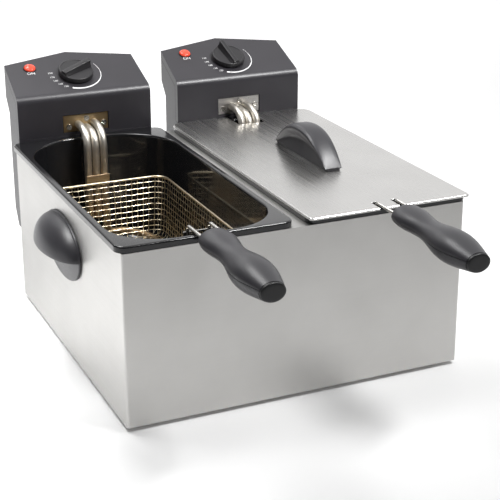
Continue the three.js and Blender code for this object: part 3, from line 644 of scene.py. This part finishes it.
def pan():
    """A deep tub with a flat rim that rolls over into a short skirt."""
    skirt_bottom = HOUSING_TOP + GAP
    spread, drop = WELL_EDGE["spread"], WELL_EDGE["drop"]
    lower_edge, lean, straight = 0.4, 0.4, 8.0
    steps = 8
    profile = []

    def add(outline, offset, height):
        profile.append([Vector((x, y, height)) for x, y in corner_loop(outline, offset)])

    def add_arc(outline, centre, radius, start, steps=5, inwards=False):
        arc = quarter_arc(centre, radius, start, steps)
        for offset, height in reversed(arc) if inwards else arc:
            add(outline, offset, height)

    outer_heel = RIM_SHEET - WELL_DRAFT
    add_arc(WELL, (outer_heel - WELL_HEEL, WELL_BOTTOM + WELL_HEEL - RIM_SHEET), WELL_HEEL, 3)
    add(WELL, RIM_SHEET, RIM_TOP - RIM_SHEET - drop)
    add(WELL, RIM_SHEET + spread, RIM_TOP - RIM_SHEET)
    add(RIM, -RIM_SHEET, RIM_TOP - RIM_SHEET)
    add(RIM, -RIM_SHEET, skirt_bottom)
    add(RIM, -lower_edge, skirt_bottom)
    add(RIM, 0.0, skirt_bottom + lower_edge)
    add_arc(RIM, (-RIM_ROLL, RIM_TOP - RIM_ROLL), RIM_ROLL, 0, steps)
    add(WELL, spread + 0.8, RIM_TOP)
    for i in range(steps + 1):
        turn = math.pi / 2 * i / steps
        add(WELL, spread * (1 - math.sin(turn)), RIM_TOP - drop * (1 - math.cos(turn)))
    add(WELL, -lean, RIM_TOP - drop - straight)
    add(WELL, -WELL_DRAFT + lean, WELL_BOTTOM + WELL_HEEL + straight)
    add_arc(WELL, (-WELL_DRAFT - WELL_HEEL, WELL_BOTTOM + WELL_HEEL), WELL_HEEL, 3, steps, inwards=True)
    shape = Shape()
    shape.loft(profile)
    return shape


# ---- Control units --------------------------------------------------------------------------------

def heating_element():
    """The heater tube: down the pan's back wall, apart along its foot, then four runs over the floor."""
    floor_z, leg_y, front_y = TUBE["floor_z"], TUBE["leg_y"], FLOOR_RUN["front"]
    foot_turn, turn, inner_x = FLOOR_RUN["foot_turn"], FLOOR_RUN["turn"], FLOOR_RUN["inner_x"]

    def leg(side):
        leg_x, foot_x, outer_x = side * TUBE["leg_x"], side * FLOOR_RUN["foot_x"], side * FLOOR_RUN["outer_x"]
        return [
            (leg_x, TUBE_START, TUBE["plate_z"], 0),
            (leg_x, leg_y, TUBE["plate_z"], TUBE["bend"]),
            (leg_x, leg_y, floor_z, foot_turn),
            (foot_x, leg_y, floor_z, foot_turn),
            (outer_x, FLOOR_RUN["rear"], floor_z, turn),
            (outer_x, front_y, floor_z, turn),
            (side * inner_x, front_y, floor_z, turn),
        ]

    tongue = [(side * inner_x, FLOOR_RUN["tongue"], floor_z, turn) for side in SIDES.values()]
    shape = Shape()
    shape.tube(rounded(leg(-1) + tongue + leg(1)[::-1], 12), TUBE["radius"], 24)
    return shape


def thermostat_tube():
    """The middle tube: out of the plate and down the pan's back wall to a closed end."""
    leg_y, height = TUBE["leg_y"], TUBE["plate_z"] - SENSOR["drop"]
    path = [
        (0, TUBE_START, height, 0),
        (0, leg_y, height, SENSOR["bend"]),
        (0, leg_y, TUBE["floor_z"] + SENSOR["foot"], 0),
    ]
    shape = Shape()
    shape.tube(rounded(path, 16), TUBE["radius"], 24)
    return shape


def knob_base():
    """The round skirt, with a rolled upper edge and a groove inside it."""
    radius, skirt = KNOB["radius"], KNOB["skirt"]
    edge, chamfer = 1.4, 0.4
    groove = skirt - KNOB_GROOVE
    profile = [(0.01, 0), (radius - chamfer, 0), (radius, chamfer)]
    profile += quarter_arc((radius - edge, skirt - edge), edge, 0, 6)
    profile += [(radius - 2.6, skirt), (radius - 3.0, groove), (0.01, groove)]
    shape = Shape()
    shape.lathe(profile, 96)
    return shape


def knob_bar():
    """The grip bar across the skirt, highest at one end; its flanks are hollowed a little."""
    reach = KNOB["radius"] - 0.8
    steps = 20
    bar, bar_top, skirt = KNOB["bar"], KNOB["bar_top"], KNOB["skirt"]
    base = skirt - 2
    rings = []
    for i in range(steps + 1):
        share = math.sin(math.pi * (i / steps - 0.5))
        x = share * reach
        top = KNOB["low"] + (KNOB["high"] - KNOB["low"]) * (share + 1) / 2
        limit = math.sqrt(max(reach ** 2 - x ** 2, 0.02))
        half = [
            (bar + 0.5, base),
            (bar + 0.4, skirt - 0.3),
            (bar - 0.4, skirt + 0.7),
            (bar_top + 1.0, base + 0.62 * (top - base)),
            (bar_top + 0.35, top - 0.9),
            (bar_top - 0.1, top - 0.25),
            (bar_top - 0.8, top),
        ]
        half = [(min(y, limit), z) for y, z in half]
        rings.append([Vector((x, y, z)) for y, z in half] + [Vector((x, -y, z)) for y, z in reversed(half)])
    shape = Shape()
    shape.loft(rings)
    return shape


def lamp_bezel():
    """A narrow ring round the lens."""
    lens, flange = LAMP["lens"], LAMP["flange"]
    seat, edge, top = 0.05, 0.7, 1.0
    profile = [(lens, seat), (flange, seat), (flange, edge), (flange - 0.2, top), (lens + 0.25, top),
               (lens, edge)]
    shape = Shape()
    shape.loft([circle(radius, height, 64) for radius, height in profile], closed=True)
    return shape


def lamp_lens():
    """A domed lens with concentric steps."""
    radius, dome, stem = LAMP["lens"] - 0.05, LAMP["dome"], LAMP["stem"]
    stem_bottom, seat, shoulder, ridge = -8, 0.1, 1.0, 0.12
    profile = [(0.01, stem_bottom), (stem, stem_bottom), (stem, seat), (radius, seat)]
    steps = 18
    for i in range(steps + 1):
        turn = math.pi / 2 * i / steps
        height = shoulder + dome * math.sin(turn) - (ridge if i % 4 == 0 else 0.0)
        profile.append((max(radius * math.cos(turn), 0.01), height))
    shape = Shape()
    shape.lathe(profile)
    return shape


def dial_arc():
    """A printed band round the knob that grows from a hairline to a broad end."""
    start, stop = math.radians(28.6), math.radians(-113.7)
    inner, raised = DIAL["band"], DIAL["raised"]
    steps = 60
    rings = []
    for i in range(steps + 1):
        share = i / steps
        angle = start + (stop - start) * share
        outer = inner + DIAL["hairline"] + DIAL["broad"] * share ** 1.2
        corners = ((inner, 0.0), (outer, 0.0), (outer, raised), (inner, raised))
        rings.append([Vector((r * math.cos(angle), r * math.sin(angle), z)) for r, z in corners])
    shape = Shape()
    shape.loft(rings)
    return shape


def add_print(text, size, matrix, name, body, material):
    """Small raised lettering, turned into a mesh."""
    curve = bpy.data.curves.new(name, "FONT")
    curve.body = text
    curve.size = size
    curve.extrude = 0.05
    curve.align_x = "CENTER"
    curve.align_y = "CENTER"
    holder = bpy.data.objects.new(name, curve)
    bpy.context.scene.collection.objects.link(holder)
    bpy.context.view_layer.update()
    mesh = bpy.data.meshes.new_from_object(holder.evaluated_get(bpy.context.evaluated_depsgraph_get()))
    shape = Shape()
    shape.vertices = [vertex.co.copy() for vertex in mesh.vertices]
    shape.faces = [tuple(face.vertices) for face in mesh.polygons]
    bpy.data.objects.remove(holder)
    add_piece(shape.place(matrix), name, body, material, "charcoal_plastic")


def add_dial(side, x, materials):
    """The printed scale: band, temperatures and the lamp's mark."""
    body = f"unit_{side}"
    face = panel_matrix(x + DIAL["x"], DIAL["slope"], 0.02)
    add_piece(dial_arc().place(face), f"dial_arc_{side}", body, materials["paint"], "charcoal_plastic")
    for number, degrees in DIAL_NUMBERS.items():
        bearing = math.radians(degrees)
        spoke = DIAL_PRINT["spoke"] * Vector((math.cos(bearing), math.sin(bearing), 0))
        place = panel_matrix(x + DIAL["x"], DIAL["slope"], PRINT_LIFT) @ Matrix.Translation(spoke)
        add_print(number, DIAL_PRINT["size"], place, f"dial_{number}_{side}", body, materials["paint"])
    mark = panel_matrix(x + LAMP["x"] + LAMP_PRINT["x"], LAMP["slope"] + LAMP_PRINT["slope"], PRINT_LIFT)
    add_print("ON", LAMP_PRINT["size"], mark, f"lamp_mark_{side}", body, materials["paint"])


def add_unit(side, x, materials):
    """The tubes, lamp and dial of one control unit, and the knob on its own body."""
    body = f"unit_{side}"
    move = Matrix.Translation((x, 0, 0))
    add_piece(heating_element().place(move), f"heater_tube_{side}", body, materials["tube"], "nickel",
              [f"heating_element_{side}"])
    add_piece(thermostat_tube().place(move), f"sensor_tube_{side}", body, materials["tube"], "nickel",
              [f"thermostat_tube_{side}"])
    on_panel = panel_matrix(x + LAMP["x"], LAMP["slope"])
    add_piece(lamp_lens().place(on_panel), f"pilot_lens_{side}", body, materials["lens"], "red_lens",
              [f"lamp_lens_{side}"])
    add_piece(lamp_bezel().place(on_panel), f"pilot_bezel_{side}", body, materials["black"], "black_plastic")
    add_dial(side, x, materials)

    turned = panel_matrix(x, KNOB["slope"], KNOB_LIFT, KNOB_TURN[side])
    knob_body = f"knob_{side}"
    add_piece(knob_base().place(turned), f"knob_skirt_{side}", knob_body, materials["knob"], "black_plastic",
              [f"knob_{side}"])
    add_piece(knob_bar().place(turned), f"knob_grip_{side}", knob_body, materials["knob"], "black_plastic")


# ---- Baskets --------------------------------------------------------------------------------------

def basket_section(share_down):
    """Inset and height of the wire wall, from the top (0) down its side and round to the floor (1)."""
    straight = BASKET_BOTTOM + BASKET_HEEL
    middle = BASKET_WALL / 2
    if share_down < WALL_SHARE:
        share = share_down / WALL_SHARE
        return middle + BASKET_TAPER * share, BASKET_TOP + (straight - BASKET_TOP) * share
    turn = math.pi / 2 * (share_down - WALL_SHARE) / (1 - WALL_SHARE)
    inset = middle + BASKET_TAPER + BASKET_HEEL * (1 - math.cos(turn))
    return inset, straight + middle - BASKET_HEEL * math.sin(turn)


def outline_depth(x, inset, end):
    """How far forward (end -1) or back (end 1) the basket's outline reaches at x."""
    half_x = BASKET["half_x"] - inset
    radius = (BASKET["r_front"] if end < 0 else BASKET["r_rear"]) - inset / 2
    limit = (BASKET["front"] + inset) if end < 0 else (BASKET["rear"] - inset)
    into = max(abs(x) - (half_x - radius), 0.0)
    return limit - end * (radius - math.sqrt(max(radius ** 2 - into ** 2, 0.0)))


def outline_width(y, inset):
    """How far out the basket's outline reaches at y."""
    half_x = BASKET["half_x"] - inset
    front, rear = BASKET["front"] + inset, BASKET["rear"] - inset
    r_front, r_rear = BASKET["r_front"] - inset / 2, BASKET["r_rear"] - inset / 2
    into_front = max(front + r_front - y, 0.0)
    into_rear = max(y - (rear - r_rear), 0.0)
    radius, into = (r_front, into_front) if into_front else (r_rear, into_rear)
    return half_x - (radius - math.sqrt(max(radius ** 2 - into ** 2, 0.0)))


def swing(number):
    """How far a wire swings aside where it crosses the wire of a given number."""
    return MESH["weave"] * math.cos(math.pi * number)


def hoop_level(number):
    """How far down the wall a hoop lies, as a share of a wire's way down."""
    return (number + HOOPS["first"]) / MESH["hoops"] * HOOPS["reach"]


def down_wall(point_at, side, parity):
    """A wire's path down one wall, outside one hoop and inside the next."""
    halves = [number / 2 for number in range(2 * MESH["hoops"] - 1)]
    path = []
    for level in [0.0] + [hoop_level(number) for number in halves] + BEND_LEVELS:
        number = level / HOOPS["reach"] * MESH["hoops"] - HOOPS["first"]
        path.append(point_at(level, swing(number + parity), side))
    return path


def cross_y(number):
    """Where a wire from side to side leaves the top edge; a half number lies between two wires."""
    inset = MESH_REACH["cross_inset"]
    return BASKET["front"] + inset + (BASKET_SPAN - 2 * inset) * number / (MESH["cross"] - 1)


def long_wire(number):
    """A wire down the front wall, along the floor and up the rear wall."""
    reach = MESH_REACH["long_x"]
    x_top = -reach + 2 * reach * number / (MESH["long"] - 1)

    def point_at(level, out, end):
        inset, height = basket_section(level)
        x = x_top * (BASKET["half_x"] - inset) / BASKET["half_x"]
        return Vector((x, outline_depth(x, inset - out, end), height))

    corner = point_at(1.0, 0.0, -1)
    floor_share = (BASKET_SPAN - 2 * MESH_REACH["floor_inset"]) / BASKET_SPAN
    path = down_wall(point_at, -1, number)
    for step in range(2, 2 * MESH["cross"] - 3):
        y = BASKET_MIDDLE + (cross_y(step / 2) - BASKET_MIDDLE) * floor_share
        path.append(Vector((corner.x, y, corner.z + swing(step / 2 + number))))
    path += reversed(down_wall(point_at, 1, number))
    return path


def cross_wire(number):
    """A wire down the left wall, across the floor and up the right wall."""
    y_top = cross_y(number)

    def point_at(level, out, side):
        inset, height = basket_section(level)
        y = BASKET_MIDDLE + (y_top - BASKET_MIDDLE) * (BASKET_SPAN - 2 * inset) / BASKET_SPAN
        return Vector((side * outline_width(y, inset - out), y, height))

    corner = point_at(1.0, 0.0, 1)
    pitch = 2 * MESH_REACH["long_x"] / (MESH["long"] - 1) * MESH_REACH["floor_x"]
    steps = MESH["long"] - 2
    path = down_wall(point_at, -1, number)
    for step in range(-steps, steps + 1):
        x = step / 2 * pitch
        if abs(x) < corner.x - MESH_REACH["edge"]:
            path.append(Vector((x, corner.y, corner.z - swing(step / 2 + number))))
    path += reversed(down_wall(point_at, 1, number))
    return path


def hoop_wire(number):
    """A wire round the wall, inside one upright and outside the next."""
    inset, height = basket_section(hoop_level(number))
    outline = corner_loop(BASKET, -inset, 0.5, 6)
    dense = []
    for n, (x, y) in enumerate(outline):
        next_x, next_y = outline[(n + 1) % len(outline)]
        pieces = max(round(math.dist((x, y), (next_x, next_y)) / HOOPS["step"]), 1)
        dense += [(x + (next_x - x) * m / pieces, y + (next_y - y) * m / pieces) for m in range(pieces)]
    ring = []
    for n, (x, y) in enumerate(dense):
        ahead = Vector(dense[(n + 1) % len(dense)]) - Vector(dense[n - 1])
        outward = Vector((ahead.y, -ahead.x)).normalized()
        out = -swing(n / 2 + number)
        ring.append(Vector((x + outward.x * out, y + outward.y * out, height)))
    return ring


def basket_wires(move):
    """Woven wire: runs from front to rear, runs from side to side, and hoops round the wall."""
    shape = Shape()
    runs = [long_wire(number) for number in range(MESH["long"])]
    runs += [cross_wire(number) for number in range(MESH["cross"])]
    for path in runs:
        shape.tube([move @ point for point in path], MESH["wire"], MESH["sides"])
    for number in range(MESH["hoops"]):
        ring = [move @ point for point in hoop_wire(number)]
        shape.tube(ring, MESH["wire"], MESH["sides"], closed=True)
    return shape.place(Matrix.Identity(4))


def basket_hoop():
    """The thick wire that the mesh's top edge is wrapped on."""
    height = BASKET_TOP + GAP + RIM_WIRE
    loop = corner_loop(BASKET, -BASKET_WALL / 2, 0.5, 12)
    shape = Shape()
    shape.tube([Vector((x, y, height)) for x, y in loop], RIM_WIRE, 16, closed=True)
    return shape


def handle_bracket():
    """Two wires that rise from the basket's front and cross the pan's rim, with plates between them."""
    foot_y, rise_y, run_z = WIRE_FOOT["y"], WIRE["rise_y"], WIRE["run_z"]
    knee_bend, rim_bend = 2, 7
    shape = Shape()
    for side in SIDES.values():
        x = side * WIRE["half_pitch"]
        path = [
            (x, foot_y, WIRE_FOOT["bottom"], 0),
            (x, foot_y, WIRE_FOOT["knee"], knee_bend),
            (x, rise_y, WIRE_FOOT["shoulder"], knee_bend),
            (x, rise_y, run_z, rim_bend),
            (x, WIRE["end"], run_z, 0),
        ]
        shape.tube(rounded(path, 8), WIRE["radius"], 20)
    add_plate(shape, foot_y)
    add_bridge(shape, rise_y)
    return shape


def add_bridge(shape, y):
    """The slotted plate that joins the two wires near the pan's rim."""
    def outline(plate):
        half_x, low, high = plate["half_x"], plate["low"], plate["high"]
        return [(-half_x, low), (half_x, low), (half_x, high), (-half_x, high)]

    half_y = BRIDGE["half_y"]
    outer, slot = outline(BRIDGE), outline(BRIDGE_SLOT)
    layers = ((outer, -half_y), (outer, half_y), (slot, half_y), (slot, -half_y))
    shape.loft([[Vector((x, y + depth, z)) for x, z in corners] for corners, depth in layers], closed=True)


def add_plate(shape, y):
    """The thin upright plate between the feet of the two wires, with softened edges."""
    half_x, half_y = FOOT_PLATE["half_x"], FOOT_PLATE["half_y"]
    low, high = FOOT_PLATE["low"], FOOT_PLATE["high"]
    middle = (low + high) / 2
    ease, skin, face_share = 0.3, 0.2, 0.985
    outline = [(-half_x, low + ease), (-half_x + ease, low), (half_x - ease, low), (half_x, low + ease),
               (half_x, high - ease), (half_x - ease, high), (-half_x + ease, high), (-half_x, high - ease)]
    layers = ((-half_y, face_share), (-half_y + skin, 1.0), (half_y - skin, 1.0), (half_y, face_share))
    rings = []
    for depth, share in layers:
        rings.append([Vector((x * share, y + depth, middle + (z - middle) * share)) for x, z in outline])
    shape.loft(rings)


def swelling(share, shape):
    """A smooth hump along the grip, 1 at its middle."""
    return math.exp(-(((share - shape["at"]) / shape["length"]) ** 2))


def grip_section(share):
    """Half width, half height and centre height of the grip: a collar, a neck and a long bulb."""
    collar, bulb = swelling(share, GRIP_COLLAR), swelling(share, GRIP_BULB)
    half_x = GRIP_SECTION["neck"] + GRIP_COLLAR["swell"] * collar + GRIP_BULB["swell"] * bulb
    flatness = GRIP_SECTION["flatness"] - GRIP_SECTION["collar_flatter"] * collar
    return half_x, flatness * half_x, WIRE["run_z"] - GRIP["below"] - GRIP["drop"] * share


def grip_half(upper):
    """One moulding of the grip, from the seam outwards, with a small step along the seam."""
    back, front = GRIP["back"], GRIP["front"]
    rear_end = [(0.0, 0.90), (0.004, 0.965), (0.012, 1.0)]    # share along the grip, share of its section
    first = rear_end[-1][0]
    last = (front + GRIP["cap"] + GAP - back) / (front - back)
    lengths, fan = 56, 26
    stations = rear_end + [(first + (last - first) * i / lengths, 1.0) for i in range(1, lengths + 1)]
    seam = GRIP["seam_z"] + GRIP_SEAM["upper" if upper else "lower"]
    rings = []
    for share, shrink in stations:
        half_x, half_z, centre = grip_section(share)
        half_x, half_z = half_x * shrink, half_z * shrink
        lean = math.asin(max(min((seam - centre) / half_z, 0.95), -0.95))
        start, stop = (lean, math.pi - lean) if upper else (math.pi - lean, 2 * math.pi + lean)
        y = back + (front - back) * share
        ring = []
        for i in range(fan + 1):
            angle = start + (stop - start) * i / fan
            ease = 0.985 if i in (0, fan) else 1.0
            ring.append(Vector((half_x * ease * math.cos(angle), y, centre + half_z * math.sin(angle))))
        rings.append(ring)
    shape = Shape()
    shape.loft(rings)
    return shape


def grip_cap():
    """The dark end cap, slightly domed."""
    back, front, cap = GRIP["back"], GRIP["front"], GRIP["cap"]
    half_x, half_z, centre = grip_section((front + cap - back) / (front - back))
    dome = [(cap, 0.97), (1.6, 0.965), (0.9, 0.95), (0.35, 0.90), (0.08, 0.8), (0.05, 0.5)]
    rings = []
    for behind, shrink in dome:
        wide, high = shrink * half_x, shrink * half_z
        rings.append([
            Vector((wide * math.cos(a), front + behind, centre + high * math.sin(a))) for a in full_turn(64)
        ])
    shape = Shape()
    shape.loft(rings)
    return shape


def add_basket(side, x, materials):
    """The wires, hoop, bracket and grip of one basket."""
    body = f"basket_{side}"
    move = Matrix.Translation((x, BASKET_SHIFT[side], 0))
    pieces = [
        (basket_wires(move), "basket_wires", "basket", "bright_steel", "basket_mesh"),
        (basket_hoop().place(move), "basket_hoop", "basket", "bright_steel", "basket_rim"),
        (handle_bracket().place(move), "handle_wires", "bright", "bright_steel", "handle_bracket"),
        (grip_half(True).place(move), "grip_top", "grip", "grip_plastic", "grip_upper"),
        (grip_half(False).place(move), "grip_bottom", "grip", "grip_plastic", "grip_lower"),
        (grip_cap().place(move), "grip_end", "black", "black_plastic", "grip_cap"),
    ]
    for shape, name, finish, slot, node in pieces:
        add_piece(shape, f"{name}_{side}", body, materials[finish], slot, [f"{node}_{side}"])


# ---- Lid ------------------------------------------------------------------------------------------

def lid_handle():
    """An arched grip: narrow at the foot, wider at its crown, tapering to both ends."""
    half_length, foot, tip = LID_HANDLE["half_length"], LID_HANDLE["foot"], LID_HANDLE["tip"]
    crown_end, crown = LID_HANDLE["crown_end"], LID_HANDLE["crown"]
    base = LID_TOP + GAP
    stations = 72
    rings = []
    for i in range(stations + 1):
        y = half_length * math.cos(i / stations * math.pi)
        share = abs(y / half_length)
        height = tip + (LID_HANDLE["height"] - tip) * (1 - share ** 2.2)
        wide = crown_end + (crown - crown_end) * (1 - share ** 2)
        waist = foot * (1 - LID_HANDLE["waist"] * (1 - share))
        half = smooth_curve([
            (foot, 0), (waist, 0.35), (waist, 0.55), (wide, 0.84), (0.86 * wide, 0.95), (0.5 * wide, 1),
        ])
        half = [(x, min(z, 1.0)) for x, z in half]
        ring = [Vector((x, y, base + height * z)) for x, z in half]
        ring += [Vector((-x, y, base + height * z)) for x, z in reversed(half)]
        rings.append(ring)
    shape = Shape()
    shape.loft(rings)
    return shape


# ---- Assembly -------------------------------------------------------------------------------------

add_camera()
add_studio()
finishes = make_materials()
keep_cad_pieces(finishes)
for side_name, side_sign in SIDES.items():
    bay = side_sign * BAY_X
    add_piece(side_grip(side_sign), f"side_grip_{side_name}", "housing", finishes["grip"], "grip_plastic",
              [f"side_handle_{side_name}"])
    add_piece(pan().place(Matrix.Translation((bay, 0, 0))), f"pan_tub_{side_name}", f"pan_{side_name}",
              finishes["enamel"], "enamel", [f"pan_{side_name}"])
    add_unit(side_name, bay, finishes)
    add_basket(side_name, bay, finishes)
lid_place = Matrix.Translation((BAY_X, 0, 0))
add_piece(lid_handle().place(lid_place), "lid_pull", "lid", finishes["grip"], "grip_plastic",
          ["lid_handle"], edge=50)
